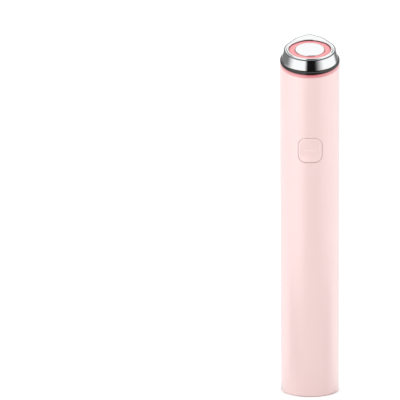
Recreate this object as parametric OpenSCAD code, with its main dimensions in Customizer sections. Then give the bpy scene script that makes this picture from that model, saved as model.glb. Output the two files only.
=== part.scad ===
// Hand-held microcurrent facial device: a slim round body with a slanted, drop-shaped metal head.
// Units are millimetres. The origin is the centre of the flat base, on the body's axis.
// +Z runs up the body, the button and the low edge of the face look along -Y, the head's tip along +Y.

/* [Body] */
// Outside diameter of the body tube
body_d = 27; // [26:0.5:30]
// Wall of the body tube
body_wall = 1.5; // [1.2:0.1:1.6]
// Height of the tube's slanted top edge, where its plane crosses the body's axis
slant_z = 152.4; // [145:0.2:165]
// Slope of the tube's top edge and of the whole head, in degrees
head_tilt = 20.5; // [16:0.5:24]
// Rounding of the tube's bottom edge
base_round = 0.8; // [0.4:0.1:1]
// Thickness of the cap that closes the base
base_cap_t = 2; // [1.6:0.1:3]
// Diameter of the soft pad under the base
base_pad_d = 20; // [18:0.5:22]
// Thickness of the soft pad under the base
base_pad_t = 0.6; // [0.4:0.1:0.8]
// Clearance between fixed pieces that seat in each other
seat_gap = 0.1; // [0.05:0.05:0.2]

/* [Button] */
// Height of the button's middle below the point where the slanted edge crosses the axis
button_drop = 37.6; // [36:0.1:50]
// Width of the button
button_w = 10.6; // [10:0.2:12.4]
// Height of the button
button_h = 10.8; // [10:0.2:12.4]
// Radius of the button's corners
button_corner = 3.3; // [2.4:0.1:4.4]
// Gap between the button and the tube all round
button_gap = 0.2; // [0.15:0.05:0.35]
// How far the button travels when it is pressed
button_travel = 0.3; // [0.2:0.05:0.4]
// How far the button's flange reaches behind the tube
button_lip = 0.6; // [0.4:0.1:0.8]
// Thickness of the button's flange at its side edges
button_flange_t = 0.5; // [0.4:0.1:0.8]
// Wall of the skirt that guides the button
button_skirt_t = 0.8; // [0.6:0.1:1]
// Length of the skirt that guides the button
button_skirt_l = 1.2; // [0.8:0.1:1.3]
// Depth of the shallow dish in the button's face
button_dish = 0.2; // [0.1:0.05:0.3]
// Width of the raised edge round the dish
button_edge = 1; // [0.8:0.1:1.6]
// Running gap between the button's skirt and its guide
guide_gap = 0.1; // [0.05:0.05:0.15]
// Wall of the guide round the button's skirt
guide_wall = 1; // [0.8:0.1:1.2]
// How far the guide overlaps the button's skirt
guide_grip = 0.8; // [0.5:0.1:0.8]
// Number of small lights across the button
light_count = 5; // [3:2:5]
// Distance between the lights
light_pitch = 1.1; // [0.9:0.1:1.4]
// Diameter of each light
light_d = 0.5; // [0.4:0.1:0.6]

/* [Switch] */
// Width of the switch across the body
switch_w = 4.2; // [3.6:0.2:5]
// Height of the switch along the body
switch_l = 3.2; // [2.8:0.2:3.6]
// Thickness of the switch
switch_t = 1.6; // [1.4:0.1:1.8]
// Distance of the switch below the button's middle
switch_drop = 3; // [2.7:0.1:3.2]
// Diameter of the switch's plunger
plunger_d = 1.6; // [1.2:0.1:2]
// Running clearance of the plunger in the switch
plunger_gap = 0.05; // [0.03:0.01:0.08]
// How deep the plunger sits in the switch
plunger_in = 0.5; // [0.4:0.1:0.7]
// Length of the button's nub that presses the plunger
nub_l = 0.4; // [0.3:0.1:0.5]

/* [Head] */
// Distance of the face's round front part from the body's axis, up the slope
face_shift = 1.8; // [1.4:0.1:2]
// Diameter of the round front part of the face
face_d = 23.4; // [22.6:0.2:24.4]
// Distance of the tip from the body's axis, up the slope
tip_reach = 17.8; // [17:0.2:19]
// Radius of the tip
tip_r = 1.1; // [0.8:0.1:1.6]
// Radius of the arcs that swell the two flanks of the drop
flank_r = 8.5; // [8:0.1:9]
// Distance of those arcs' centre from the face's round centre
flank_shift = 6; // [5.6:0.1:6.4]
// How far the foot of the head's skirt reaches beyond the face
skirt_out = 1; // [0.8:0.1:1.3]
// Distance of the foot's centre from the body's axis, up the slope
foot_shift = 0.1; // [0:0.1:0.3]
// Height of the head from its foot to its face
head_h = 4.1; // [3.6:0.1:5]
// Wall of the head
head_wall = 1; // [0.8:0.1:1.1]
// Height of the upright rim round the face
rim_h = 0.4; // [0.2:0.1:0.6]
// Width of the raised lip round the light ring
lip_w = 1; // [0.7:0.1:1.3]
// Height of the raised lip above the face
lip_h = 0.4; // [0.2:0.1:0.5]
// Thickness of the dark ring under the head
flange_h = 1; // [0.8:0.1:1.6]
// Thickness of the contact washer under the head's foot
washer_t = 0.2; // [0.1:0.05:0.3]

/* [Face] */
// Distance of the light ring's centre from the body's axis, up the slope
light_shift = 1.3; // [1.1:0.1:1.5]
// Width of the metal left beside the light ring in the face
plate_edge = 2.2; // [2:0.1:2.5]
// Width of the light ring in the face
lens_w = 2.8; // [2.5:0.1:3.1]
// How far the light ring lies below the face
lens_sink = 0.2; // [0:0.05:0.3]
// How far the light ring's hidden edge reaches under the face
lens_lip = 0.6; // [0.4:0.1:0.8]
// Thickness of the light ring's hidden edge
lens_lip_t = 0.6; // [0.4:0.1:0.8]
// How far the centre electrode stands above the face
disc_rise = 0.3; // [0.2:0.1:0.6]
// Thickness of the centre electrode
disc_t = 1.4; // [1.2:0.1:1.6]
// Rounding of the centre electrode's edge
disc_round = 0.4; // [0.2:0.1:0.6]
// Gap between the centre electrode and the light ring
disc_gap = 0.15; // [0.1:0.05:0.25]
// Diameter of the centre electrode's stem
stem_d = 3.2; // [2.6:0.2:3.6]

/* [Glow ring] */
// Thickness of the glow ring between the body and the dark ring
glow_h = 1.4; // [1.2:0.1:2]
// Radial width of the glow ring at its sides
glow_w = 4; // [3.6:0.1:4.4]

/* [Neck] */
// Length of the neck collar below the lowest point of the slanted edge
collar_l = 6; // [5:0.5:9]
// Wall of the neck collar
collar_wall = 1.6; // [1.4:0.1:2]
// Thickness of the slanted plate across the neck collar
collar_plate_t = 1.5; // [1.2:0.1:2]
// Thickness of the rubber seal round the neck collar
seal_d = 1; // [0.8:0.1:1.1]
// Height of the seal above the collar's lower edge
seal_up = 2.5; // [2:0.1:3]

/* [Inner frame] */
// Gap between the inner frame and the tube
frame_gap = 0.2; // [0.1:0.05:0.3]
// Wall of the inner frame
frame_wall = 1.2; // [1:0.1:1.6]
// Thickness of each bulkhead of the inner frame
bulkhead_t = 4; // [3.4:0.2:5]
// Height of the space for the charging port under the battery
port_room = 16; // [15:0.5:20]
// Thickness of the bulkhead that holds the motor
motor_block_t = 8; // [6:0.5:9]
// Thickness of each cradle behind the battery
cradle_t = 3; // [2:0.5:5]
// Distance of each cradle from the battery's end
cradle_in = 8; // [4:1:14]

/* [Battery] */
// Gap between the battery cell and the inner frame behind it
cell_gap = 0.55; // [0.2:0.05:1]
// Length of the battery cell
cell_l = 50; // [40:1:53]
// Thickness of the foam between the cell and the main board
foam_t = 1.5; // [1:0.1:1.8]
// Thickness of the battery's metal tabs
tab_t = 0.2; // [0.15:0.05:0.3]
// Width of the battery's metal tabs
tab_w = 4; // [3:0.5:5]

/* [Boards] */
// Width of the main board
board_w = 16; // [15.6:0.1:16.6]
// Thickness of the main board
board_t = 1; // [0.8:0.1:1.2]
// How far the main board hangs below the bulkhead under the battery
board_foot = 4; // [3:0.5:5]
// Side of the largest chip
chip_w = 7; // [5:0.5:8]
// Thickness of the large chips
chip_t = 0.9; // [0.6:0.1:1.2]
// Distance between the rows of chips along the main board
chip_step = 8; // [7:0.5:9]
// Thickness of the small boards
small_board_t = 0.6; // [0.5:0.1:0.7]
// Number of light chips on each ring board
led_count = 8; // [4:1:10]
// Height of the light chips
led_t = 0.5; // [0.4:0.1:0.6]
// Thickness of the flat ribbons
ribbon_t = 0.2; // [0.15:0.05:0.3]
// Width of the flat ribbons
ribbon_w = 5; // [4:0.5:6]
// Diameter of the boost coil
coil_d = 7; // [5:0.5:7.4]
// Height of the boost coil
coil_h = 3.2; // [2.4:0.2:3.4]
// Thickness of the coil core's two end discs
coil_disc_t = 0.6; // [0.4:0.1:0.8]
// Distance of the boost coil below the button's middle
coil_drop = 19; // [14:0.5:24]

/* [Motor] */
// Diameter of the vibration motor
motor_d = 6; // [5:0.5:7]
// Length of the vibration motor
motor_l = 10; // [9.5:0.5:12]
// Distance of the motor's axis behind the body's axis
motor_back = 3; // [1:0.5:4]
// Diameter of the motor's shaft
shaft_d = 0.8; // [0.7:0.1:1]
// Running clearance of the shaft in the motor
shaft_gap = 0.04; // [0.02:0.01:0.08]
// Radius of the off-centre weight
weight_r = 2.8; // [2:0.1:3]
// Length of the off-centre weight
weight_l = 4; // [3:0.5:4.5]
// Gap between the motor and the weight
weight_gap = 0.4; // [0.2:0.1:0.8]
// Diameter of the motor's leads
lead_d = 0.6; // [0.5:0.1:0.8]
// Distance of the motor's leads below the motor
lead_drop = 1.4; // [1:0.2:3]

/* [Charging port] */
// Width of the port's metal shell
port_w = 8.9; // [8.6:0.1:9.2]
// Height of the port's metal shell
port_h = 3.2; // [3.1:0.05:3.4]
// Depth of the port's metal shell
port_l = 7.3; // [6.6:0.1:8]
// Wall of the port's metal shell
port_wall = 0.3; // [0.2:0.05:0.35]
// How far the port's mouth lies inside the base
port_sink = 0.4; // [0.2:0.1:0.6]
// Width of the port's tongue
tongue_w = 6.7; // [6.2:0.1:7]
// Thickness of the port's tongue
tongue_t = 0.7; // [0.6:0.05:0.8]
// Distance of the tongue's end from the port's mouth
tongue_sink = 0.8; // [0.6:0.1:1.2]
// Thickness of the port shell's closed end
port_end_t = 1; // [0.8:0.1:1.2]
// Width of the port's board
port_board_w = 14; // [12:0.5:15]
// Length of the port's board
port_board_l = 11; // [9:0.5:12]

/* [Screws] */
// Diameter of the small screws
screw_d = 1.6; // [1.4:0.1:1.8]
// Diameter of the screw heads
screw_head_d = 2.8; // [2.4:0.1:3]
// Height of the screw heads
screw_head_h = 0.9; // [0.7:0.1:1]
// Clearance of the screws in their holes
screw_gap = 0.1; // [0.05:0.05:0.15]
// How deep the board's screws reach into the inner frame
board_screw_in = 3.6; // [2.5:0.1:4]
// How deep the base screws reach into the inner frame
base_screw_in = 3; // [2:0.2:3.2]
// How deep the head's screws reach into the electrode carrier
head_screw_in = 1.8; // [1.4:0.1:2]
// Distance of the head's screws from the light ring's centre
head_screw_ring = 4.3; // [4:0.1:4.6]

/* [Hidden] */
$fn = 96;

// Tube and base
body_r = body_d / 2;
bore_r = body_r - body_wall;
seat_r = bore_r - seat_gap;
far = 2 * slant_z;
over = 1;
thread_gap = 0.02;
press_gap = 0.01;

// Head levels, measured square to the slanted edge
glow_top = glow_h;
flange_top = glow_top + flange_h;
foot_n = flange_top + washer_t;
face_n = foot_n + head_h;
face_under_n = face_n - head_wall;
lens_top_n = face_n - lens_sink;
lens_base_n = face_under_n - lens_lip_t;
disc_top_n = face_n + disc_rise;
disc_base_n = disc_top_n - disc_t;

// Head radii
face_r = face_d / 2;
foot_r = face_r + skirt_out;
lens_r = face_r - plate_edge;
disc_r = lens_r - lens_w;
lens_bore_r = disc_r + disc_gap;
lens_hole_r = lens_r + seat_gap;
lens_lip_r = lens_r + lens_lip;
recess_r = lens_lip_r + 3 * seat_gap;
carrier_r = recess_r - 2 * seat_gap;
carrier_floor_t = 0.9;
carrier_floor_n = flange_top + carrier_floor_t;
boss_in = 0.3;
carrier_boss_r = disc_r - boss_in;
pin_in = 0.2;
pin_gap = 0.2;
pin_r = 0.6;
stem_r = stem_d / 2;
stem_end_n = flange_top + pin_in;
washer_in = 0.2;
led_w = 1.2;
led_l = 1.6;
led_edge = 0.2;

// Glow ring and its board
glow_bore_r = body_r - glow_w;
ring_board_r = glow_bore_r - 2 * seat_gap;

// Neck collar and motor heights
collar_z = slant_z - body_r * tan(head_tilt) - collar_l;
seal_z = collar_z + seal_up;
shaft_end = 0.3;
rotor_room = 0.7;
shaft_top = collar_z - rotor_room;
weight_z = shaft_top - shaft_end - weight_l;
motor_top = weight_z - weight_gap;
motor_z = motor_top - motor_l;
motor_r = motor_d / 2;
motor_floor = 1;
shaft_r = shaft_d / 2;

// Inner frame
frame_r = bore_r - frame_gap;
frame_in_r = frame_r - frame_wall;
block_z = motor_z + (motor_l - motor_block_t) / 2;
block_top = block_z + motor_block_t;
lower_z = base_cap_t + port_room;
cell_end_gap = 2 * tab_t;
cell_z = lower_z + bulkhead_t + cell_end_gap;
cell_top = cell_z + cell_l;
upper_z = cell_top + cell_end_gap;

// Button depths, measured forwards from the body's axis
button_z = slant_z - button_drop;
flange_face_r = bore_r - button_gap;
button_flange_w = button_w + 2 * button_lip;
button_flange_h = button_h + 2 * button_lip;
web_depth = sqrt(pow(flange_face_r, 2) - pow(button_flange_w / 2, 2)) - button_flange_t;
push_gap = 0.02;
plunger_r = plunger_d / 2;
plunger_room = 0.2;
plunger_tip = web_depth - nub_l - push_gap;
switch_top = plunger_tip - button_travel - plunger_room;
board_front = switch_top - switch_t;
board_back = board_front - board_t;
switch_z = button_z - switch_drop;
guide_depth = web_depth - button_skirt_l + guide_grip;
guide_w = button_flange_w + 2 * guide_gap;
guide_h = button_flange_h + 2 * guide_gap;
light_r = light_d / 2;

// Battery and boards; the cell fills the room between the board's foam and the frame
cell_r = (board_back - foam_t + frame_in_r - cell_gap) / 2;
cell_y = foam_t + cell_r - board_back;
tab_in = 2;
tab_leg = 2.5;
board_z = lower_z - board_foot;
screw_x = board_w / 2 - screw_d;
screw_levels = [lower_z + bulkhead_t / 2, upper_z + bulkhead_t / 2, block_z + motor_block_t / 2];
coil_r = coil_d / 2;
coil_z = button_z - coil_drop;
coil_gap = 0.02;
ribbon_y = -board_front - ribbon_t / 2;
ribbon_pad_l = 3;

// Charging port
port_board_y = port_h / 2;
port_board_z = base_cap_t + 0.4;
port_board_top = port_board_z + port_board_l;

// Screws
screw_r = screw_d / 2;
screw_hole_r = screw_r + screw_gap;
base_screw_x = (port_w / 2 + base_pad_d / 2) / 2;
base_seat_z = base_pad_t + screw_head_h;
head_screw_angles = [30, 150, 270];
screw_end_n = flange_top + head_screw_in;

pink = [0.99, 0.89, 0.87];
glow_red = [0.93, 0.42, 0.42];
lens_pink = [1.0, 0.62, 0.62];
chrome = [0.86, 0.87, 0.88];
dark = [0.06, 0.06, 0.065];
white = [0.93, 0.93, 0.92];
board_green = [0.10, 0.38, 0.24];
steel = [0.62, 0.63, 0.65];
gold = [0.85, 0.68, 0.32];

// Puts its children in the head's own slanted frame, n above the tube's edge and t up the slope
module in_head(n = 0, t = 0) {
    translate([0, 0, slant_z])
        rotate([head_tilt, 0, 0])
            translate([0, t, n])
                children();
}

// Everything below the slanted plane that lies n above the tube's edge
module below_slant(n = 0) {
    in_head(n)
        translate([-far / 2, -far / 2, -far])
            cube([far, far, far]);
}

// A slice of the upright cylinder of radius r between two slanted planes
module slanted_slice(r, n0, n1) {
    difference() {
        intersection() {
            cylinder(r = r, h = far);
            below_slant(n1);
        }
        below_slant(n0);
    }
}

// A rectangle with round corners, centred
module round_rect(w, h, r) {
    square([w - 2 * r, h], center = true);
    square([w, h - 2 * r], center = true);
    for (sx = [-1, 1])
        for (sy = [-1, 1])
            translate([sx * (w / 2 - r), sy * (h / 2 - r)])
                circle(r);
}

// Stands a flat outline upright so that it faces forwards, from depth d0 to depth d1 ahead of the axis
module forward(z, d0, d1) {
    translate([0, -d0, z])
        rotate([90, 0, 0])
            linear_extrude(d1 - d0)
                children();
}

// A flat strip of thickness t and width w through points of the middle plane
module strip(points, t, w) {
    rotate([90, 0, 90])
        linear_extrude(w, center = true) {
            for (i = [0 : len(points) - 2]) {
                step = points[i + 1] - points[i];
                translate(points[i])
                    rotate(atan2(step[1], step[0]))
                        translate([0, -t / 2])
                            square([norm(step), t]);
            }
            for (i = [1 : 1 : len(points) - 2])
                translate(points[i])
                    circle(d = t);
        }
}

// A small screw that points up, with the underside of its head at z = 0
module screw(l) {
    cylinder(r = screw_r, h = l);
    translate([0, 0, -screw_head_h])
        cylinder(d = screw_head_d, h = screw_head_h);
}

// Drop outline of the face, made of three circles and their tangent lines
module drop() {
    rings = [
        [0, face_r],
        [flank_shift, flank_r],
        [tip_reach - tip_r - face_shift, tip_r]
    ];
    for (ring = rings)
        translate([0, ring[0]])
            circle(ring[1]);
    for (i = [0, 1]) {
        a = rings[i];
        b = rings[i + 1];
        lean = asin((a[1] - b[1]) / (b[0] - a[0]));
        polygon([
            [-a[1] * cos(lean), a[0] + a[1] * sin(lean)],
            [a[1] * cos(lean), a[0] + a[1] * sin(lean)],
            [b[1] * cos(lean), b[0] + b[1] * sin(lean)],
            [-b[1] * cos(lean), b[0] + b[1] * sin(lean)]
        ]);
    }
}

// Pink tube with its slanted top edge and the button's opening
module body_shell() {
    color(pink)
        difference() {
            intersection() {
                rotate_extrude() {
                    square([body_r - base_round, base_round]);
                    translate([0, base_round])
                        square([body_r, far]);
                    translate([body_r - base_round, base_round])
                        circle(base_round);
                }
                below_slant(0);
            }
            translate([0, 0, -over])
                cylinder(r = bore_r, h = far);
            forward(button_z, 0, body_r + over)
                round_rect(button_w + 2 * button_gap, button_h + 2 * button_gap, button_corner + button_gap);
        }
}

// Outline of the charging port grown by extra all round
module port_outline(extra = 0) {
    round_rect(port_w + 2 * extra, port_h + 2 * extra, port_h / 2 + extra - press_gap);
}

// Cap that closes the base, with the port's slot and two sunk screw holes
module base_cap() {
    color(pink)
        difference() {
            cylinder(r = seat_r, h = base_cap_t);
            translate([0, 0, -over])
                linear_extrude(base_cap_t + 2 * over)
                    port_outline(seat_gap);
            translate([0, 0, -over])
                cylinder(r = base_pad_d / 2 + seat_gap, h = base_pad_t + over);
            for (sx = [-1, 1])
                translate([sx * base_screw_x, 0, 0]) {
                    cylinder(r = screw_hole_r, h = base_cap_t + over);
                    cylinder(d = screw_head_d + 2 * screw_gap, h = base_seat_z);
                }
        }
}

// Soft pad under the base
module base_pad() {
    color(white)
        linear_extrude(base_pad_t)
            difference() {
                circle(d = base_pad_d);
                port_outline(seat_gap);
            }
}

// Two screws that hold the base cap to the inner frame
module base_screws() {
    color(steel)
        for (sx = [-1, 1])
            translate([sx * base_screw_x, 0, base_seat_z])
                screw(base_cap_t + base_screw_in - base_seat_z);
}

// Metal shell of the charging port, closed at its inner end
module port_shell() {
    color(steel)
        translate([0, 0, port_sink])
            difference() {
                linear_extrude(port_l)
                    port_outline();
                translate([0, 0, -port_end_t])
                    linear_extrude(port_l)
                        port_outline(-port_wall);
            }
}

// Contact tongue inside the charging port
module port_tongue() {
    color(dark)
        translate([-tongue_w / 2, -tongue_t / 2, port_sink + tongue_sink])
            cube([tongue_w, tongue_t, port_l - port_end_t - tongue_sink]);
}

// Small upright board behind the charging port
module port_board() {
    color(board_green)
        translate([-port_board_w / 2, port_board_y, port_board_z])
            cube([port_board_w, small_board_t, port_board_l]);
}

// Flat ribbon from the port's board to the main board
module port_ribbon() {
    low_y = port_board_y - ribbon_t / 2;
    high_y = ribbon_t / 2 - board_back;
    color(gold)
        strip([
            [low_y, port_board_top - ribbon_pad_l],
            [low_y, port_board_top],
            [high_y, board_z + ribbon_pad_l / 2],
            [high_y, lower_z - 2 * ribbon_t]
        ], ribbon_t, ribbon_w);
}

// A disc of the inner frame from z up, t thick, cut flat at the depth front
module bulkhead(z, t, front = -board_back) {
    translate([0, 0, z])
        intersection() {
            cylinder(r = frame_r, h = t);
            translate([-frame_r, front, 0])
                cube([2 * frame_r, frame_r - front, t]);
        }
}

// Inner frame: a half tube with bulkheads and cradles that carry port, battery, board and motor
module inner_frame() {
    color(white)
        difference() {
            union() {
                difference() {
                    translate([0, 0, base_cap_t])
                        cylinder(r = frame_r, h = collar_z - base_cap_t);
                    cylinder(r = frame_in_r, h = far);
                    translate([-far / 2, -far, 0])
                        cube([far, far, far]);
                }
                bulkhead(base_cap_t, bulkhead_t);
                bulkhead(lower_z, bulkhead_t);
                bulkhead(cell_z + cradle_in, cradle_t, cell_y);
                bulkhead(cell_top - cradle_in - cradle_t, cradle_t, cell_y);
                bulkhead(upper_z, bulkhead_t);
                bulkhead(block_z, motor_block_t);
            }
            // Port, its board and the base screws
            linear_extrude(base_cap_t + bulkhead_t + over)
                port_outline(seat_gap);
            translate([-port_board_w / 2 - seat_gap, port_board_y - seat_gap, port_board_z - seat_gap])
                cube([port_board_w + 2 * seat_gap, small_board_t + 2 * seat_gap, bulkhead_t + over]);
            for (sx = [-1, 1])
                translate([sx * base_screw_x, 0, 0])
                    cylinder(r = screw_r + thread_gap, h = base_cap_t + base_screw_in + thread_gap);
            // Battery bed
            translate([0, cell_y, cell_z - cell_end_gap])
                cylinder(r = cell_r + seat_gap, h = cell_l + 2 * cell_end_gap);
            // Motor bore
            translate([0, motor_back, block_z - over])
                cylinder(r = motor_r + seat_gap / 2, h = motor_block_t + 2 * over);
            // Screw holes for the main board
            for (z = screw_levels)
                for (sx = [-1, 1])
                    translate([sx * screw_x, -board_front, z])
                        rotate([-90, 0, 0])
                            cylinder(r = screw_r + thread_gap, h = board_t + board_screw_in + thread_gap);
        }
}

// Battery cell
module battery_cell() {
    color([0.25, 0.42, 0.68])
        translate([0, cell_y, cell_z])
            cylinder(r = cell_r, h = cell_l);
}

// Metal tabs from both ends of the cell to the main board
module battery_tabs() {
    color(steel) {
        strip([
            [cell_y + tab_in, cell_z - tab_t / 2],
            [tab_t / 2 - board_back, cell_z - tab_t / 2],
            [tab_t / 2 - board_back, cell_z + tab_leg]
        ], tab_t, tab_w);
        strip([
            [cell_y + tab_in, cell_top + tab_t / 2],
            [tab_t / 2 - board_back, cell_top + tab_t / 2],
            [tab_t / 2 - board_back, cell_top - tab_leg]
        ], tab_t, tab_w);
    }
}

// Foam that beds the cell against the back of the main board
module battery_foam() {
    foam_w = 8;
    foam_wrap = 1.2;
    foam_in = tab_leg + 1;
    color([0.32, 0.32, 0.34])
        difference() {
            translate([-foam_w / 2, -board_back, cell_z + foam_in])
                cube([foam_w, foam_t + foam_wrap, cell_l - 2 * foam_in]);
            translate([0, cell_y, 0])
                cylinder(r = cell_r + thread_gap, h = far / 2);
        }
}

// Main circuit board, upright behind the button
module main_board() {
    color(board_green)
        difference() {
            translate([-board_w / 2, -board_front, board_z])
                cube([board_w, board_t, block_top - board_z]);
            for (z = screw_levels)
                for (sx = [-1, 1])
                    translate([sx * screw_x, over - board_back, z])
                        rotate([90, 0, 0])
                            cylinder(r = screw_hole_r, h = board_t + 2 * over);
        }
}

// A chip on the front of the main board
module chip(x, z, w, l, t) {
    translate([x - w / 2, -board_front - t, z - l / 2])
        cube([w, t, l]);
}

// Chips and small parts on the main board
module board_chips() {
    middle_z = (lower_z + upper_z) / 2;
    small_w = chip_w / 8;
    color(dark) {
        chip(0, middle_z, chip_w, chip_w, chip_t);
        chip(0, middle_z - 2 * chip_step, 0.7 * chip_w, 0.6 * chip_w, chip_t);
        chip(0, middle_z + 2 * chip_step, 0.6 * chip_w, 0.8 * chip_w, chip_t);
        for (row = [-1, 1])
            for (i = [-2 : 2])
                chip(2.5 * i * small_w, middle_z + row * chip_step, small_w, 2 * small_w, 0.7 * chip_t);
    }
}

// Ferrite drum of the boost coil
module coil_core() {
    color([0.2, 0.2, 0.22])
        translate([0, -board_front, coil_z])
            rotate([90, 0, 0])
                rotate_extrude() {
                    square([coil_r, coil_disc_t]);
                    square([coil_r / 2, coil_h]);
                    translate([0, coil_h - coil_disc_t])
                        square([coil_r, coil_disc_t]);
                }
}

// Copper winding of the boost coil
module coil_winding() {
    color([0.72, 0.42, 0.22])
        translate([0, -board_front - coil_disc_t - coil_gap, coil_z])
            rotate([90, 0, 0])
                rotate_extrude()
                    translate([coil_r / 2 + coil_gap, 0])
                        square([0.45 * coil_r, coil_h - 2 * (coil_disc_t + coil_gap)]);
}

// Six screws that hold the main board to the inner frame
module board_screws() {
    color(steel)
        for (z = screw_levels)
            for (sx = [-1, 1])
                translate([sx * screw_x, -board_front, z])
                    rotate([-90, 0, 0])
                        screw(board_t + board_screw_in);
}

// Push switch on the main board
module switch_body() {
    bore_depth = plunger_in + button_travel + 2 * plunger_gap;
    color(dark)
        difference() {
            forward(switch_z, board_front, switch_top)
                square([switch_w, switch_l], center = true);
            forward(switch_z, switch_top - bore_depth, switch_top + over)
                circle(plunger_r + plunger_gap);
        }
}

// Plunger of the push switch
module switch_plunger() {
    color(white)
        forward(switch_z, switch_top - plunger_in, plunger_tip)
            circle(plunger_r);
}

// Guide on the main board in which the button's skirt slides
module button_guide() {
    color(white)
        difference() {
            forward(button_z, board_front, guide_depth)
                square([guide_w + 2 * guide_wall, guide_h + 2 * guide_wall], center = true);
            forward(button_z, board_front - over, guide_depth + over)
                square([guide_w, guide_h], center = true);
        }
}

// The button's face surface: everything behind the tube's curve and the shallow dish
module button_face() {
    dish_w = button_w - 2 * button_edge;
    dish_h = button_h - 2 * button_edge;
    difference() {
        cylinder(r = body_r, h = far / 2);
        difference() {
            forward(button_z, 0, body_r + over)
                round_rect(dish_w, dish_h, button_corner - button_edge);
            cylinder(r = body_r - button_dish, h = far / 2);
        }
    }
}

// Button with its hidden flange, guide skirt and the nub that presses the switch
module button_cap() {
    color(pink)
        difference() {
            union() {
                intersection() {
                    forward(button_z, web_depth, body_r)
                        round_rect(button_w, button_h, button_corner);
                    button_face();
                }
                intersection() {
                    forward(button_z, web_depth, body_r)
                        square([button_flange_w, button_flange_h], center = true);
                    cylinder(r = flange_face_r, h = far / 2);
                }
                forward(button_z, web_depth - button_skirt_l, web_depth)
                    difference() {
                        square([button_flange_w, button_flange_h], center = true);
                        square([
                            button_flange_w - 2 * button_skirt_t,
                            button_flange_h - 2 * button_skirt_t
                        ], center = true);
                    }
                forward(switch_z, web_depth - nub_l, web_depth)
                    circle(plunger_r);
            }
            button_light_pins(light_r + thread_gap, web_depth - over, body_r + over);
        }
}

// Row of pins across the button, from depth d0 to depth d1
module button_light_pins(r, d0, d1) {
    for (i = [0 : light_count - 1])
        translate([(i - (light_count - 1) / 2) * light_pitch, 0, 0])
            forward(button_z, d0, d1)
                circle(r, $fn = 24);
}

// Clear light pins that show as small dots in the button's face
module button_lights() {
    color(white)
        intersection() {
            button_light_pins(light_r, web_depth, body_r);
            button_face();
        }
}

// Light chips behind the button's light pins
module indicator_leds() {
    side = 0.7;
    color(gold)
        for (i = [0 : light_count - 1])
            chip((i - (light_count - 1) / 2) * light_pitch, button_z, side, side, led_t);
}

// Case of the vibration motor with its shaft bore
module motor_can() {
    color(steel)
        translate([0, motor_back, motor_z])
            difference() {
                cylinder(r = motor_r, h = motor_l);
                translate([0, 0, motor_floor])
                    cylinder(r = shaft_r + shaft_gap, h = motor_l);
            }
}

// Shaft of the vibration motor
module motor_shaft() {
    shaft_z = motor_z + motor_floor + push_gap;
    color(steel)
        translate([0, motor_back, shaft_z])
            cylinder(r = shaft_r, h = shaft_top - shaft_z);
}

// Off-centre weight on the motor's shaft
module motor_weight() {
    hub_wall = 0.6;
    color(gold)
        translate([0, motor_back, weight_z])
            difference() {
                union() {
                    intersection() {
                        cylinder(r = weight_r, h = weight_l);
                        translate([-weight_r, -weight_r, 0])
                            cube([2 * weight_r, weight_r, weight_l]);
                    }
                    cylinder(r = shaft_r + hub_wall, h = weight_l);
                }
                translate([0, 0, -over])
                    cylinder(r = shaft_r + press_gap, h = weight_l + 2 * over);
            }
}

// Two insulated leads from the motor to the back of the main board
module motor_leads() {
    color([0.7, 0.12, 0.12])
        for (sx = [-1, 1])
            translate([sx * 2 * lead_d, motor_back, motor_z - lead_drop]) {
                cylinder(d = lead_d, h = lead_drop);
                sphere(d = lead_d);
                rotate([90, 0, 0])
                    cylinder(d = lead_d, h = motor_back + board_back);
            }
}

// Collar in the tube's top that carries the head on a slanted plate
module neck_collar() {
    color(dark)
        difference() {
            intersection() {
                translate([0, 0, collar_z])
                    cylinder(r = seat_r, h = far / 4);
                below_slant(0);
            }
            intersection() {
                cylinder(r = seat_r - collar_wall, h = far);
                below_slant(-collar_plate_t);
            }
            translate([0, 0, seal_z])
                difference() {
                    cylinder(r = body_r, h = seal_d + 2 * seat_gap, center = true);
                    cylinder(r = bore_r - seal_d - seat_gap, h = seal_d + over, center = true);
                }
            head_screw_holes(-collar_plate_t - over, over, screw_hole_r);
            // Slot for the head's ribbon
            translate([-ribbon_w / 2 - seat_gap, ribbon_y - ribbon_t, collar_z])
                cube([ribbon_w + 2 * seat_gap, 2 * ribbon_t, far / 4]);
        }
}

// Holes of radius r for the head's screws, between two levels above the tube's edge
module head_screw_holes(n0, n1, r) {
    in_head(n0, light_shift)
        for (a = head_screw_angles)
            rotate(a)
                translate([head_screw_ring, 0, 0])
                    cylinder(r = r, h = n1 - n0);
}

// Rubber seal in the neck collar's groove
module neck_seal() {
    color([0.2, 0.2, 0.2])
        translate([0, 0, seal_z])
            rotate_extrude()
                translate([bore_r - (seal_d + seat_gap) / 2, 0])
                    circle(d = seal_d);
}

// Translucent ring that glows between the body and the dark ring
module glow_ring() {
    color(glow_red)
        difference() {
            slanted_slice(body_r, 0, glow_top);
            in_head(-over)
                cylinder(r = glow_bore_r, h = glow_h + 2 * over);
        }
}

// Board in the middle of the glow ring
module ring_board() {
    color(board_green)
        difference() {
            in_head(0)
                cylinder(r = ring_board_r, h = small_board_t);
            head_screw_holes(-over, small_board_t + over, screw_hole_r);
        }
}

// Ring of light chips, n above the tube's edge and t up the slope, r from the ring's middle
module led_ring(n, t, r) {
    in_head(n, t)
        for (i = [0 : led_count - 1])
            rotate(i * 360 / led_count)
                translate([r - led_w / 2, -led_l / 2, 0])
                    cube([led_w, led_l, led_t]);
}

// Light chips that light the glow ring from inside
module ring_leds() {
    color(gold)
        led_ring(small_board_t, 0, ring_board_r - led_w / 2 - led_edge);
}

// Flat ribbon from the main board up to the glow ring's board
module head_ribbon() {
    color(gold)
        difference() {
            strip([[ribbon_y, block_top - ribbon_pad_l], [ribbon_y, slant_z]], ribbon_t, ribbon_w);
            in_head(0)
                translate([-far / 2, -far / 2, 0])
                    cube([far, far, far]);
        }
}

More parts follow.
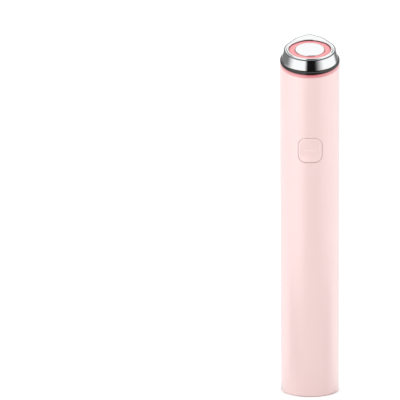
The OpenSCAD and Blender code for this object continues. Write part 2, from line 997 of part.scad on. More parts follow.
// Dark ring that carries the head and closes it from below
module head_flange() {
    color(dark)
        difference() {
            slanted_slice(body_r, glow_top, flange_top);
            in_head(0, light_shift)
                cylinder(r = pin_r + pin_gap, h = flange_top + over);
            head_screw_holes(0, flange_top + over, screw_hole_r);
        }
}

// Springy metal washer that joins the head's foot to the circuit
module contact_washer() {
    color(steel)
        in_head(flange_top)
            difference() {
                translate([0, foot_shift, 0])
                    cylinder(r = foot_r - washer_in, h = washer_t);
                translate([0, light_shift, -over])
                    cylinder(r = carrier_r + seat_gap, h = washer_t + 2 * over);
            }
}

// Insulating carrier that holds the light ring, its board and the centre electrode
module electrode_carrier() {
    color(dark)
        difference() {
            in_head(flange_top, light_shift)
                difference() {
                    union() {
                        cylinder(r = carrier_r, h = carrier_floor_n - flange_top);
                        cylinder(r = carrier_boss_r, h = disc_base_n - flange_top);
                        difference() {
                            cylinder(r = carrier_r, h = lens_base_n - flange_top);
                            cylinder(r = lens_r, h = head_h);
                        }
                    }
                    translate([0, 0, -over])
                        cylinder(r = stem_r + thread_gap, h = head_h + disc_t + over);
                }
            head_screw_holes(flange_top - over, screw_end_n + thread_gap, screw_r + thread_gap);
        }
}

// Ring board under the face's light ring
module lens_board() {
    color(board_green)
        in_head(carrier_floor_n, light_shift)
            difference() {
                cylinder(r = lens_r - seat_gap, h = small_board_t);
                translate([0, 0, -over])
                    cylinder(r = lens_bore_r, h = small_board_t + 2 * over);
            }
}

// Light chips under the face's light ring
module lens_leds() {
    color(gold)
        led_ring(carrier_floor_n + small_board_t, light_shift, (lens_r + lens_bore_r) / 2);
}

// Light ring in the face, held by its hidden edge
module ring_lens() {
    color(lens_pink)
        in_head(lens_base_n, light_shift)
            rotate_extrude() {
                translate([lens_bore_r, 0])
                    square([lens_r - lens_bore_r, lens_top_n - lens_base_n]);
                translate([lens_bore_r, 0])
                    square([lens_lip_r - lens_bore_r, lens_lip_t]);
            }
}

// Round metal electrode in the middle of the face, with its stem
module centre_electrode() {
    color(chrome)
        in_head(0, light_shift)
            rotate_extrude() {
                translate([0, disc_base_n])
                    square([disc_r, disc_t - disc_round]);
                translate([0, disc_base_n])
                    square([disc_r - disc_round, disc_t]);
                translate([disc_r - disc_round, disc_top_n - disc_round])
                    circle(disc_round);
                translate([0, stem_end_n])
                    square([stem_r, disc_base_n - stem_end_n + disc_t / 2]);
            }
}

// Pin that joins the centre electrode's stem to the circuit
module contact_pin() {
    color(gold)
        in_head(small_board_t, light_shift)
            cylinder(r = pin_r, h = stem_end_n - small_board_t);
}

// Metal head: a sloping skirt, a drop-shaped face and the lip round the light ring
module head_shell() {
    foot_edge = 0.2;
    color(chrome)
        in_head(foot_n)
            difference() {
                union() {
                    hull() {
                        translate([0, foot_shift, 0])
                            cylinder(r = foot_r, h = foot_edge);
                        translate([0, face_shift, head_h - rim_h])
                            linear_extrude(rim_h)
                                drop();
                    }
                    translate([0, light_shift, head_h])
                        cylinder(r1 = lens_hole_r + lip_w, r2 = lens_hole_r + lip_w - lip_h / 2, h = lip_h);
                }
                // Round recess for the electrode carrier
                translate([0, light_shift, -over])
                    cylinder(r = recess_r, h = over + head_h - head_wall);
                translate([0, light_shift, 0])
                    cylinder(r = lens_hole_r, h = head_h + lip_h + over);
            }
}

// Three screws that hold the head's carrier to the neck collar
module head_screws() {
    color(steel)
        in_head(-collar_plate_t, light_shift)
            for (a = head_screw_angles)
                rotate(a)
                    translate([head_screw_ring, 0, 0])
                        screw(collar_plate_t + screw_end_n);
}

body_shell();
base_cap();
base_pad();
base_screws();
port_shell();
port_tongue();
port_board();
port_ribbon();
inner_frame();
battery_cell();
battery_tabs();
battery_foam();
main_board();
board_chips();
coil_core();
coil_winding();
board_screws();
switch_body();
switch_plunger();
button_guide();
button_cap();
button_lights();
indicator_leds();
motor_can();
motor_shaft();
motor_weight();
motor_leads();
neck_collar();
neck_seal();
glow_ring();
ring_board();
ring_leds();
head_ribbon();
head_flange();
contact_washer();
electrode_carrier();
lens_board();
lens_leds();
ring_lens();
centre_electrode();
contact_pin();
head_shell();
head_screws();
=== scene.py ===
from math import asin, atan2, cos, hypot, pi, radians, sin, tan

import bmesh
import bpy
from mathutils import Matrix, Vector


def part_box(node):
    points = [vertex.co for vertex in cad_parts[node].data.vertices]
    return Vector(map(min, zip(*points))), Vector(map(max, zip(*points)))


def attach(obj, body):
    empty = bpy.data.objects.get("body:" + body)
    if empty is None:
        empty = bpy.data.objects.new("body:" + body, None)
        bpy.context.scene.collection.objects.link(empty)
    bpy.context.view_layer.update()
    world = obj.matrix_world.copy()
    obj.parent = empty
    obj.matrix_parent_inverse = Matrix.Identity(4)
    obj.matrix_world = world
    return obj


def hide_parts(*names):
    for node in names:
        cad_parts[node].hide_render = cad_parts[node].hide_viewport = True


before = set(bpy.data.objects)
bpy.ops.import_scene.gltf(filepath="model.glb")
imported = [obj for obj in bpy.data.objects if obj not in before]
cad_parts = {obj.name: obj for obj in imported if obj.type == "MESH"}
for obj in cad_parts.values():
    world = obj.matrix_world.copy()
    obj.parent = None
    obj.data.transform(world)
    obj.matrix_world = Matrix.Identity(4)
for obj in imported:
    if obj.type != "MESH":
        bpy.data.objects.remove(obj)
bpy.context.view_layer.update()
scene = bpy.context.scene
print("frame loaded:", len(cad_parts), "nodes")

mm = 0.001
weld = 1e-6  # metres within which two vertices are one
snap = 1e-7  # and within which a cutting plane meets a vertex
tilt = radians(20.5)  # slope of the tube's top edge and of the head
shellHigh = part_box("body_shell")[1]
slantZ = shellHigh.z - shellHigh.x * tan(tilt)  # where the slanted edge crosses the axis

# centres of the face's circles, in millimetres up the slope from the tube's axis
faceCentre = {"light": 1.3, "front": 1.8, "foot": 0.1}


def headSpace(t=0.0, n=0.0):
    # the head's slanted frame: t millimetres up the slope and n above the tube's edge
    slant = Matrix.Translation((0, 0, slantZ)) @ Matrix.Rotation(tilt, 4, "X")
    return slant @ Matrix.Translation((0, t * mm, n * mm))


def startMaterial(name, sockets):
    # sockets are those of the shader itself, by name
    material = bpy.data.materials.new(name)
    material.use_nodes = True
    shader = material.node_tree.nodes["Principled BSDF"]
    for socket, value in sockets.items():
        shader.inputs[socket].default_value = value
    return material, material.node_tree, shader


def feed(tree, value, target):
    # target takes another socket's value, or a plain number or colour
    if isinstance(value, bpy.types.NodeSocket):
        tree.links.new(value, target)
    else:
        target.default_value = value


def calculated(tree, operation, *values):
    # a Math node's result
    node = tree.nodes.new("ShaderNodeMath")
    node.operation = operation
    for value, target in zip(values, node.inputs):
        feed(tree, value, target)
    return node.outputs["Value"]


def vectorNode(tree, operation, vector):
    node = tree.nodes.new("ShaderNodeVectorMath")
    node.operation = operation
    tree.links.new(vector, node.inputs[0])
    return node


def axesOf(tree, vector):
    split = tree.nodes.new("ShaderNodeSeparateXYZ")
    tree.links.new(vector, split.inputs["Vector"])
    return split.outputs


def mixed(tree, factor, first, second, kind="RGBA"):
    # between two colours, or two numbers where kind is FLOAT
    mix = tree.nodes.new("ShaderNodeMix")
    mix.data_type = kind
    for name, value in (("Factor", factor), ("A", first), ("B", second)):
        feed(tree, value, mix.inputs[name])
    return mix.outputs["Result"]


def ranged(tree, value, low, high, fromLow=0.3, fromHigh=0.7, kind="LINEAR"):
    # from the span that noise mostly has, or another one, to low and high
    node = tree.nodes.new("ShaderNodeMapRange")
    node.interpolation_type = kind
    limits = (("From Min", fromLow), ("From Max", fromHigh), ("To Min", low), ("To Max", high))
    for name, number in limits:
        node.inputs[name].default_value = number
    tree.links.new(value, node.inputs["Value"])
    return node.outputs["Result"]


def faded(tree, value, start, end):
    # 0 up to start and 1 from end, softly between; it falls where end is below start
    if start < end:
        return ranged(tree, value, 0.0, 1.0, start, end, "SMOOTHSTEP")
    return ranged(tree, value, 1.0, 0.0, end, start, "SMOOTHSTEP")


cameraSetup = {
    "place": (-0.01194246, -0.87616528, 0.24474706),
    "heading": 2.51928,  # degrees towards -X
    "pitch": 79.99079,  # 90 looks level
    "roll": -0.588441,
    "lens": 174.093,
    "sensor": 36.0,
    "nearest": 0.01,
}


def addCamera(setup):
    data = bpy.data.cameras.new("photoCamera")
    data.lens = setup["lens"]
    data.sensor_width = setup["sensor"]
    data.clip_start = setup["nearest"]
    camera = bpy.data.objects.new("photoCamera", data)
    scene.collection.objects.link(camera)
    place = Matrix.Translation(setup["place"])
    for angle, axis in (("heading", "Z"), ("pitch", "X"), ("roll", "Z")):
        place = place @ Matrix.Rotation(radians(setup[angle]), 4, axis)
    camera.matrix_world = place
    scene.camera = camera


studio = {
    "softLight": 0.78,  # even light from all round
    "floorSize": 14.0,
    "floorTone": 0.86,  # its colour to the light that falls on it
    "floorRough": 0.9,
    "floorShine": 0.1,
    "floorGlow": (0.08, 0.25),  # what makes it white to the camera, near the object and far behind it
    "farFloor": (0.45, 1.6),  # metres out, between which it changes
    "floorInMetal": 0.015,  # what mirroring rays meet close in front of the object
    "mirroring": (0.14, 0.34),  # metres out, between which they come to meet the panels' light
    "behind": (-0.05, 0.02),  # metres back, between which they do so close by as well
    # name: place, aimed at, width, height, watts
    "lamps": {
        "leftSoftbox": ((-0.95, -0.85, 0.55), (0, 0, 0.09), 0.7, 0.9, 5.2),
        "rightSoftbox": ((0.95, -0.80, 0.50), (0, 0, 0.09), 0.6, 0.9, 3.6),
        "topSoftbox": ((0.0, 0.25, 1.25), (0, 0, 0.12), 0.9, 0.9, 3.8),
    },
}

# what the metal mirrors: two white panels with a black gap between them, grey behind, white above
mirrored = {
    "white": 1.02,
    "grey": 0.2,
    "black": 0.006,
    # degrees from the front, positive to the right, between which each edge fades
    "leftPanel": (-103, -62),
    "rightPanel": (134, 112),
    "gapLeft": (-22, -8),
    "gapRight": (58, 16),
    # degrees above the horizon
    "ceiling": (35, 42),
    "gapTop": (60, 52),
}

# the same as the far floor shows it to the upright tube, with no grey and a wider, softer gap
floorMirrored = {
    **mirrored,
    "white": 0.98,
    "grey": 0.98,
    "gapLeft": (-50, -4),
    "gapRight": (100, 24),
}


def addLamp(name, place, target, width, height, watts):
    data = bpy.data.lights.new(name, "AREA")
    data.shape = "RECTANGLE"
    data.size = width
    data.size_y = height
    data.energy = watts
    lamp = bpy.data.objects.new(name, data)
    look = (Vector(target) - Vector(place)).normalized()
    lamp.matrix_world = Matrix.Translation(place) @ look.to_track_quat("-Z", "Y").to_matrix().to_4x4()
    lamp.visible_glossy = False  # the metal mirrors the panels instead
    scene.collection.objects.link(lamp)


def mirroredLight(tree, direction, setup):
    # strength of the light that a mirroring surface meets in each direction
    axes = axesOf(tree, direction)
    ahead = calculated(tree, "MULTIPLY", axes["Y"], -1.0)
    heading = calculated(tree, "ARCTAN2", axes["X"], ahead)
    rise = calculated(tree, "ARCSINE", axes["Z"])

    def edge(value, name):
        return faded(tree, value, *(radians(angle) for angle in setup[name]))

    panels = calculated(tree, "MULTIPLY", edge(heading, "leftPanel"), edge(heading, "rightPanel"))
    bright = calculated(tree, "MAXIMUM", panels, edge(rise, "ceiling"))
    gap = calculated(tree, "MULTIPLY", edge(heading, "gapLeft"), edge(heading, "gapRight"))
    gap = calculated(tree, "MULTIPLY", gap, edge(rise, "gapTop"))
    tone = calculated(tree, "MULTIPLY_ADD", bright, setup["white"] - setup["grey"], setup["grey"])
    outside = calculated(tree, "SUBTRACT", 1.0, gap)
    return calculated(tree, "MULTIPLY_ADD", tone, outside, setup["black"])


def addWorld(softLight, setup):
    world = bpy.data.worlds.new("studioWorld")
    world.use_nodes = True
    tree = world.node_tree
    tree.nodes.clear()
    path = tree.nodes.new("ShaderNodeLightPath")
    where = tree.nodes.new("ShaderNodeTexCoord")
    # plain soft light, or the panels for mirroring rays, and white behind the object
    panels = mirroredLight(tree, where.outputs["Generated"], setup)
    met = mixed(tree, path.outputs["Is Glossy Ray"], softLight, panels, "FLOAT")
    seen = mixed(tree, path.outputs["Is Camera Ray"], met, 1.0, "FLOAT")
    light = tree.nodes.new("ShaderNodeBackground")
    light.inputs["Color"].default_value = (1, 1, 1, 1)
    tree.links.new(seen, light.inputs["Strength"])
    out = tree.nodes.new("ShaderNodeOutputWorld")
    tree.links.new(light.outputs["Background"], out.inputs["Surface"])
    scene.world = world


def floorMaterial(setup, mirroredSetup):
    material, tree, shader = startMaterial("paleFloor", {
        "Roughness": setup["floorRough"],
        "Specular IOR Level": setup["floorShine"],
        "Emission Color": (1, 1, 1, 1),
    })
    path = tree.nodes.new("ShaderNodeLightPath")
    toCamera, toMetal = path.outputs["Is Camera Ray"], path.outputs["Is Glossy Ray"]
    where = tree.nodes.new("ShaderNodeTexCoord").outputs["Object"]
    distance = vectorNode(tree, "LENGTH", where).outputs["Value"]
    # white to the camera, with the object's shadow, and pale to the light that falls on it
    tree.links.new(mixed(tree, toCamera, setup["floorTone"], 1.0, "FLOAT"), shader.inputs["Base Color"])
    near, far = setup["floorGlow"]
    glow = calculated(tree, "MULTIPLY_ADD", faded(tree, distance, *setup["farFloor"]), far - near, near)
    tree.links.new(calculated(tree, "MULTIPLY", glow, toCamera), shader.inputs["Emission Strength"])
    # dark to mirroring rays close in front of the object, and the panels' light further out and behind
    lit = calculated(tree, "MAXIMUM", faded(tree, distance, *setup["mirroring"]),
                     faded(tree, axesOf(tree, where)["Y"], *setup["behind"]))
    light = calculated(tree, "MULTIPLY", mirroredLight(tree, where, mirroredSetup), lit)
    panels = tree.nodes.new("ShaderNodeEmission")
    tree.links.new(calculated(tree, "MAXIMUM", light, setup["floorInMetal"]), panels.inputs["Strength"])
    kind = tree.nodes.new("ShaderNodeMixShader")
    tree.links.new(toMetal, kind.inputs["Fac"])
    tree.links.new(shader.outputs["BSDF"], kind.inputs[1])
    tree.links.new(panels.outputs["Emission"], kind.inputs[2])
    tree.links.new(kind.outputs["Shader"], tree.nodes["Material Output"].inputs["Surface"])
    return material


def addFloor(setup, mirroredSetup):
    bm = bmesh.new()
    bmesh.ops.create_grid(bm, x_segments=1, y_segments=1, size=setup["floorSize"] / 2)
    mesh = bpy.data.meshes.new("paleFloor")
    bm.to_mesh(mesh)
    bm.free()
    mesh.materials.append(floorMaterial(setup, mirroredSetup))
    floor = bpy.data.objects.new("paleFloor", mesh)
    scene.collection.objects.link(floor)


addCamera(cameraSetup)
addWorld(studio["softLight"], mirrored)
addFloor(studio, floorMirrored)
for name, values in studio["lamps"].items():
    addLamp(name, *values)
scene.view_settings.view_transform = "Standard"
print("camera and studio ready")


def shade(red, green, blue):
    # a colour written as on screen, 0 to 255, for a shader
    def linear(c):
        return ((c / 255 + 0.055) / 1.055) ** 2.4 if c > 10 else c / 3294.6
    return linear(red), linear(green), linear(blue), 1.0


def mapped(tree, stretch=(1, 1, 1), place=(0, 0, 0), turn=(0, 0, 0), kind="POINT"):
    # Object coordinates, in metres, stretched and turned for a pattern
    where = tree.nodes.new("ShaderNodeTexCoord")
    mapping = tree.nodes.new("ShaderNodeMapping")
    mapping.vector_type = kind
    mapping.inputs["Location"].default_value = place
    mapping.inputs["Rotation"].default_value = turn
    mapping.inputs["Scale"].default_value = stretch
    tree.links.new(where.outputs["Object"], mapping.inputs["Vector"])
    return mapping.outputs["Vector"]


def headMapping(tree, t=0.0):
    # the same in the head's slanted frame, with Z square to the tube's edge
    return mapped(tree, place=headSpace(t).translation, turn=(tilt, 0, 0), kind="TEXTURE")


def noise(tree, vector, size, detail=3.0):
    # noise whose grains are about size millimetres
    node = tree.nodes.new("ShaderNodeTexNoise")
    node.inputs["Scale"].default_value = 1 / (size * mm)
    node.inputs["Detail"].default_value = detail
    tree.links.new(vector, node.inputs["Vector"])
    return node.outputs["Fac"]


def bumped(tree, shader, height, depth, strength=0.5):
    # depth is the height of the grain in millimetres
    node = tree.nodes.new("ShaderNodeBump")
    node.inputs["Strength"].default_value = strength
    node.inputs["Distance"].default_value = depth * mm
    tree.links.new(height, node.inputs["Height"])
    tree.links.new(node.outputs["Normal"], shader.inputs["Normal"])


plain = {}
metal = {"Metallic": 1.0}
tubeCoat = {"Specular IOR Level": 1.0, "Coat Weight": 1.0, "Coat IOR": 1.9, "Coat Roughness": 0.22}
padCoat = {"Specular IOR Level": 1.0, "Coat Weight": 1.0, "Coat IOR": 1.8, "Coat Roughness": 0.25}
blackCoat = {"Coat Weight": 0.6, "Coat Roughness": 0.08}
sleeveCoat = {"Coat Weight": 0.3}
brushed = (1, 1, 6)

# two close tones, roughness between, patches, grain and its height in millimetres, the shader's sockets
grainedFinish = {
    "satinPink": ((248, 218, 216), (246, 214, 212), (0.3, 0.36), 18, 0.25, 0.006, tubeCoat),
    "buttonPink": ((248, 218, 215), (246, 214, 211), (0.3, 0.36), 9, 0.2, 0.006, padCoat),
    "padRubber": ((214, 196, 193), (204, 186, 184), (0.7, 0.85), 3, 0.3, 0.03, plain),
    "chrome": ((248, 249, 250), (245, 246, 247), (0.05, 0.09), 6, 1.5, 0.0008, metal),
    # next: chrome darkened into a painted dark reflection along the plate's edge
    "paintedDarkEdgeChrome": ((122, 126, 128), (112, 116, 118), (0.12, 0.2), 4, 0.8, 0.001, metal),
    "glossBlack": ((14, 14, 15), (20, 20, 21), (0.12, 0.2), 5, 1.2, 0.002, blackCoat),
    "steelPlate": ((176, 178, 182), (156, 158, 163), (0.22, 0.38), 2, 0.3, 0.004, metal, brushed),
    "blackPlastic": ((28, 28, 30), (36, 36, 38), (0.45, 0.6), 2, 0.25, 0.01, plain),
    "whitePlastic": ((232, 232, 228), (224, 224, 221), (0.42, 0.55), 5, 0.35, 0.01, plain),
    "cellSleeve": ((58, 104, 168), (48, 92, 156), (0.25, 0.35), 8, 1.0, 0.01, sleeveCoat),
    "blackFoam": ((64, 64, 66), (44, 44, 46), (0.9, 1.0), 0.6, 0.4, 0.2, plain),
    "ferrite": ((50, 50, 54), (38, 38, 42), (0.5, 0.7), 0.8, 0.2, 0.02, plain),
    "lightPin": ((252, 238, 235), (248, 231, 228), (0.2, 0.3), 0.5, 0.1, 0.004, plain),
    "ledChip": ((236, 214, 120), (240, 236, 226), (0.3, 0.45), 0.9, 0.2, 0.01, plain),
    "weightMetal": ((140, 138, 134), (118, 116, 113), (0.35, 0.5), 1, 0.15, 0.01, metal),
    "leadCover": ((176, 30, 30), (160, 24, 26), (0.4, 0.5), 1, 0.2, 0.01, plain),
    "sealRubber": ((40, 40, 42), (30, 30, 32), (0.6, 0.75), 1.5, 0.2, 0.02, plain),
    "contactMetal": ((214, 182, 108), (200, 166, 92), (0.2, 0.35), 1.5, 0.2, 0.003, metal),
}


def grained(name, first, second, rough, patch, grain, depth, sockets, stretch=(1, 1, 1)):
    # the two tones and the roughness wander in soft patches, under a fine grain
    material, tree, shader = startMaterial(name, sockets)
    vector = mapped(tree, stretch)
    soft = noise(tree, vector, patch)
    fine = noise(tree, vector, grain, detail=2.0)
    tree.links.new(mixed(tree, soft, shade(*first), shade(*second)), shader.inputs["Base Color"])
    tree.links.new(ranged(tree, soft, *rough), shader.inputs["Roughness"])
    bumped(tree, shader, fine, depth)
    return material


# two tones, millimetres for each radian of the wave, its direction, roughness between, height, sockets
stripedFinish = {
    "ribbonFilm": ((196, 132, 52), (150, 92, 34), 0.8, "X", (0.3, 0.4), 0.01, plain),
    "copperTurns": ((206, 118, 62), (140, 70, 34), 0.25, "Y", (0.25, 0.4), 0.05, metal),
}


def striped(name, first, second, wave, direction, rough, depth, sockets, bend=0.15, patch=2.0):
    # fine parallel lines, as of a ribbon's conductors or a coil's turns
    material, tree, shader = startMaterial(name, sockets)
    vector = mapped(tree)
    lines = tree.nodes.new("ShaderNodeTexWave")
    lines.bands_direction = direction
    lines.inputs["Scale"].default_value = 1000 / (wave * 20)  # the node's wave runs 20 radians a unit
    lines.inputs["Distortion"].default_value = bend
    tree.links.new(vector, lines.inputs["Vector"])
    soft = noise(tree, vector, patch)
    colour = mixed(tree, lines.outputs["Fac"], shade(*first), shade(*second))
    tree.links.new(colour, shader.inputs["Base Color"])
    tree.links.new(ranged(tree, soft, *rough), shader.inputs["Roughness"])
    bumped(tree, shader, lines.outputs["Fac"], depth)
    return material


boardFinish = {
    "lacquer": ((20, 92, 58), (24, 100, 62)),
    "tracks": (58, 140, 84),
    "cloud": (18, 84, 54),  # what the soft patches turn to
    "patch": 4.0,
    "scale": 260,
    "trackWidth": 0.035,
    "stagger": 0.37,
    "rough": (0.32, 0.48),
    "depth": 0.03,
    "sockets": {"Coat Weight": 0.3, "Coat Roughness": 0.2},
}


def boardMaterial(setup):
    # green lacquer with lighter copper tracks under it
    material, tree, shader = startMaterial("circuitBoard", setup["sockets"])
    vector = mapped(tree, turn=(pi / 2, 0, 0))
    tracks = tree.nodes.new("ShaderNodeTexBrick")
    tracks.offset = setup["stagger"]
    tracks.inputs["Scale"].default_value = setup["scale"]
    tracks.inputs["Mortar Size"].default_value = setup["trackWidth"]
    for socket, tone in zip(("Color1", "Color2", "Mortar"), (*setup["lacquer"], setup["tracks"])):
        tracks.inputs[socket].default_value = shade(*tone)
    tree.links.new(vector, tracks.inputs["Vector"])
    soft = noise(tree, vector, setup["patch"])
    colour = mixed(tree, soft, tracks.outputs["Color"], shade(*setup["cloud"]))
    tree.links.new(colour, shader.inputs["Base Color"])
    tree.links.new(ranged(tree, soft, *setup["rough"]), shader.inputs["Roughness"])
    bumped(tree, shader, tracks.outputs["Fac"], setup["depth"])
    return material


def glowing(tree, shader, colour, vector, grain):
    # plastic that gives off its own colour, with a fine grain of a size and a height
    for socket in ("Base Color", "Emission Color"):
        tree.links.new(colour, shader.inputs[socket])
    size, depth = grain
    bumped(tree, shader, noise(tree, vector, size), depth)


glowFinish = {
    # top: a darker, deeper red, partly the glow's own colour and partly a painted shadow under the dark
    # ring
    "top": (188, 84, 92),
    "bottom": (222, 162, 166),
    "height": 1.4,
    # side: paler, a painted reflection of the light panels
    "side": (214, 146, 150),
    "panelReflectionShare": 0.75,
    "sideways": (6, 13.5),  # millimetres from the middle, between which the side's paler tone, a painted reflection of the light panels, comes in
    "grain": (0.6, 0.01),
    "sockets": {
        "Roughness": 0.35,
        "Coat Weight": 1.0,
        "Coat IOR": 2.0,
        "Coat Roughness": 0.12,
        "Emission Strength": 0.25,
    },
}


def glowMaterial(setup):
    # red light from inside, paler below; darker, deeper red under the dark ring, partly the glow's own
    # colour and partly a painted shadow of that ring; paler towards the sides as a painted reflection of
    # the light panels, so strongest in front
    material, tree, shader = startMaterial("glowPlastic", setup["sockets"])
    axes = axesOf(tree, headMapping(tree))
    level = ranged(tree, axes["Z"], 0.0, 1.0, 0.0, setup["height"] * mm)
    # the column's darker top is partly a painted shadow under the dark ring
    column = mixed(tree, level, shade(*setup["bottom"]), shade(*setup["top"]))
    inside, outside = setup["sideways"]
    across = calculated(tree, "ABSOLUTE", axes["X"])
    # painted reflection of the light panels: paler towards the sides
    panelReflection = ranged(tree, across, 0.0, setup["panelReflectionShare"], inside * mm, outside * mm)
    colour = mixed(tree, panelReflection, column, shade(*setup["side"]))
    glowing(tree, shader, colour, mapped(tree), setup["grain"])
    return material


lensFinish = {
    "inner": (218, 140, 142),
    "outer": (208, 122, 128),
    "radii": (6.85, 9.5),
    "grain": (0.5, 0.008),
    "sockets": {"Roughness": 0.3, "Coat Weight": 0.3, "Emission Strength": 0.25},
}


def lensMaterial(setup):
    # a little deeper in colour towards its outer edge
    material, tree, shader = startMaterial("lensPlastic", setup["sockets"])
    vector = headMapping(tree, faceCentre["light"])
    flat = vectorNode(tree, "MULTIPLY", vector)
    flat.inputs[1].default_value = (1, 1, 0)
    distance = vectorNode(tree, "LENGTH", flat.outputs["Vector"]).outputs["Value"]
    inside, outside = setup["radii"]
    outwards = ranged(tree, distance, 0.0, 1.0, inside * mm, outside * mm)
    colour = mixed(tree, outwards, shade(*setup["inner"]), shade(*setup["outer"]))
    glowing(tree, shader, colour, vector, setup["grain"])
    return material


finishes = {
    **{name: grained(name, *values) for name, values in grainedFinish.items()},
    **{name: striped(name, *values) for name, values in stripedFinish.items()},
    "circuitBoard": boardMaterial(boardFinish),
    "glowPlastic": glowMaterial(glowFinish),
    "lensPlastic": lensMaterial(lensFinish),
}

nodeFinish = {
    "satinPink": ["body_shell", "base_cap"],
    "buttonPink": ["button_cap"],
    "padRubber": ["base_pad"],
    "chrome": ["head_shell", "centre_electrode"],
    "glossBlack": ["head_flange"],
    "steelPlate": [
        "base_screws", "board_screws", "head_screws",
        "port_shell", "battery_tabs", "motor_can", "motor_shaft",
    ],
    "blackPlastic": ["port_tongue", "board_chips", "switch_body", "neck_collar", "electrode_carrier"],
    "whitePlastic": ["inner_frame", "switch_plunger", "button_guide"],
    "circuitBoard": ["port_board", "main_board", "ring_board", "lens_board"],
    "ribbonFilm": ["port_ribbon", "head_ribbon"],
    "cellSleeve": ["battery_cell"],
    "blackFoam": ["battery_foam"],
    "ferrite": ["coil_core"],
    "copperTurns": ["coil_winding"],
    "lightPin": ["button_lights"],
    "ledChip": ["indicator_leds", "ring_leds", "lens_leds"],
    "weightMetal": ["motor_weight"],
    "leadCover": ["motor_leads"],
    "sealRubber": ["neck_seal"],
    "contactMetal": ["contact_washer", "contact_pin"],
    "glowPlastic": ["glow_ring"],
    "lensPlastic": ["ring_lens"],
}

for finish, nodes in nodeFinish.items():
    for node in nodes:
        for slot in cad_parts[node].material_slots:
            slot.material = finishes[finish]
print("materials ready:", len(finishes))


def addPiece(name, bm, looks, body, replaced, place, crease=35):
    # turns a bmesh, drawn in its own frame, into a piece that rides on a body
    # edges that turn by more than crease, in degrees, stay sharp
    bmesh.ops.transform(bm, matrix=place, verts=bm.verts)
    mesh = bpy.data.meshes.new(name)
    bm.to_mesh(mesh)
    bm.free()
    for face in mesh.polygons:
        face.use_smooth = True
    mesh.set_sharp_from_angle(angle=radians(crease))
    for look in looks:
        mesh.materials.append(finishes[look])
    piece = bpy.data.objects.new(name, mesh)
    scene.collection.objects.link(piece)
    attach(piece, body)
    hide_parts(*replaced)


def drawnOut(bm, edges):
    # extrudes a loop of edges, and gives the new edges and vertices
    made = bmesh.ops.extrude_edge_only(bm, edges=edges)["geom"]
    verts = [item for item in made if isinstance(item, bmesh.types.BMVert)]
    edges = [item for item in made if isinstance(item, bmesh.types.BMEdge)]
    return [edge for edge in edges if len(edge.link_faces) == 1], verts


def tidied(bm):
    # doubled vertices merged, and faces turned outwards
    bmesh.ops.remove_doubles(bm, verts=bm.verts, dist=weld)
    bmesh.ops.recalc_face_normals(bm, faces=bm.faces)


capLow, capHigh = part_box("button_cap")
buttonPad = {
    "flange": ((capHigh.x - capLow.x) / mm, (capHigh.z - capLow.z) / mm),
    "lip": 0.55,  # how far the flange reaches past the pad all round
    "corner": 3.3,
    "cornerSteps": 10,
    "border": [(0.05, 0.05), (0.09, 0.03), (0.14, 0.01), (0.66, 0.0)],  # its edge, as insets and rises
    "cell": 0.55,  # spacing of the cuts that let it curve
    "front": 13.5,  # radius of the curve that its face follows
    "flangeFront": 11.8,  # and of the flange's
    "dish": 0.34,
    "web": 9.72,  # distance of its back from the tube's axis
    "skirtWall": 0.8,
    "skirtLength": 1.2,
    "nub": (0.8, 0.4, -3.0),  # radius, length, and height from the pad's middle
    "nubSides": 32,
}


def onCurve(vert, radius):
    # where a point lies, front to back, on an upright cylinder round the tube's axis
    return -((radius * mm) ** 2 - vert.co.x ** 2) ** 0.5


def drawPad(bm, setup, wide, tall, upright):
    # a rounded square with a soft border, from a grid of 1 mm, cut finely enough to curve
    bmesh.ops.create_grid(bm, x_segments=1, y_segments=1, size=mm / 2,
                          matrix=upright @ Matrix.Diagonal((wide, tall, 1, 1)))
    bmesh.ops.bevel(bm, geom=bm.verts[:], offset=setup["corner"] * mm, segments=setup["cornerSteps"],
                    profile=0.5, affect="VERTICES", material=-1)
    inner = bm.faces[:]
    for inset, rise in setup["border"]:
        bmesh.ops.inset_region(bm, faces=inner, thickness=inset * mm, depth=rise * mm,
                               use_boundary=True, use_even_offset=True)
    for axis, size in ((Vector((1, 0, 0)), wide), (Vector((0, 0, 1)), tall)):
        cuts = int(size / 2 / setup["cell"])
        for i in range(-cuts, cuts + 1):
            bmesh.ops.bisect_plane(bm, geom=bm.verts[:] + bm.edges[:] + bm.faces[:], dist=snap,
                                   plane_co=axis * i * setup["cell"] * mm, plane_no=axis)


def bendPad(bm, setup, wide, tall):
    # the face follows the tube's curve, with a shallow dish inside its border
    reach = sum(inset for inset, rise in setup["border"])
    crown = sum(rise for inset, rise in setup["border"])
    for vert in bm.verts:
        across = vert.co.x / mm / (wide / 2 - reach)
        up = vert.co.z / mm / (tall / 2 - reach)
        dish = setup["dish"] * max(0, 1 - across ** 4) * max(0, 1 - up ** 2)
        vert.co.y = onCurve(vert, setup["front"] - crown - vert.co.y / mm - dish)


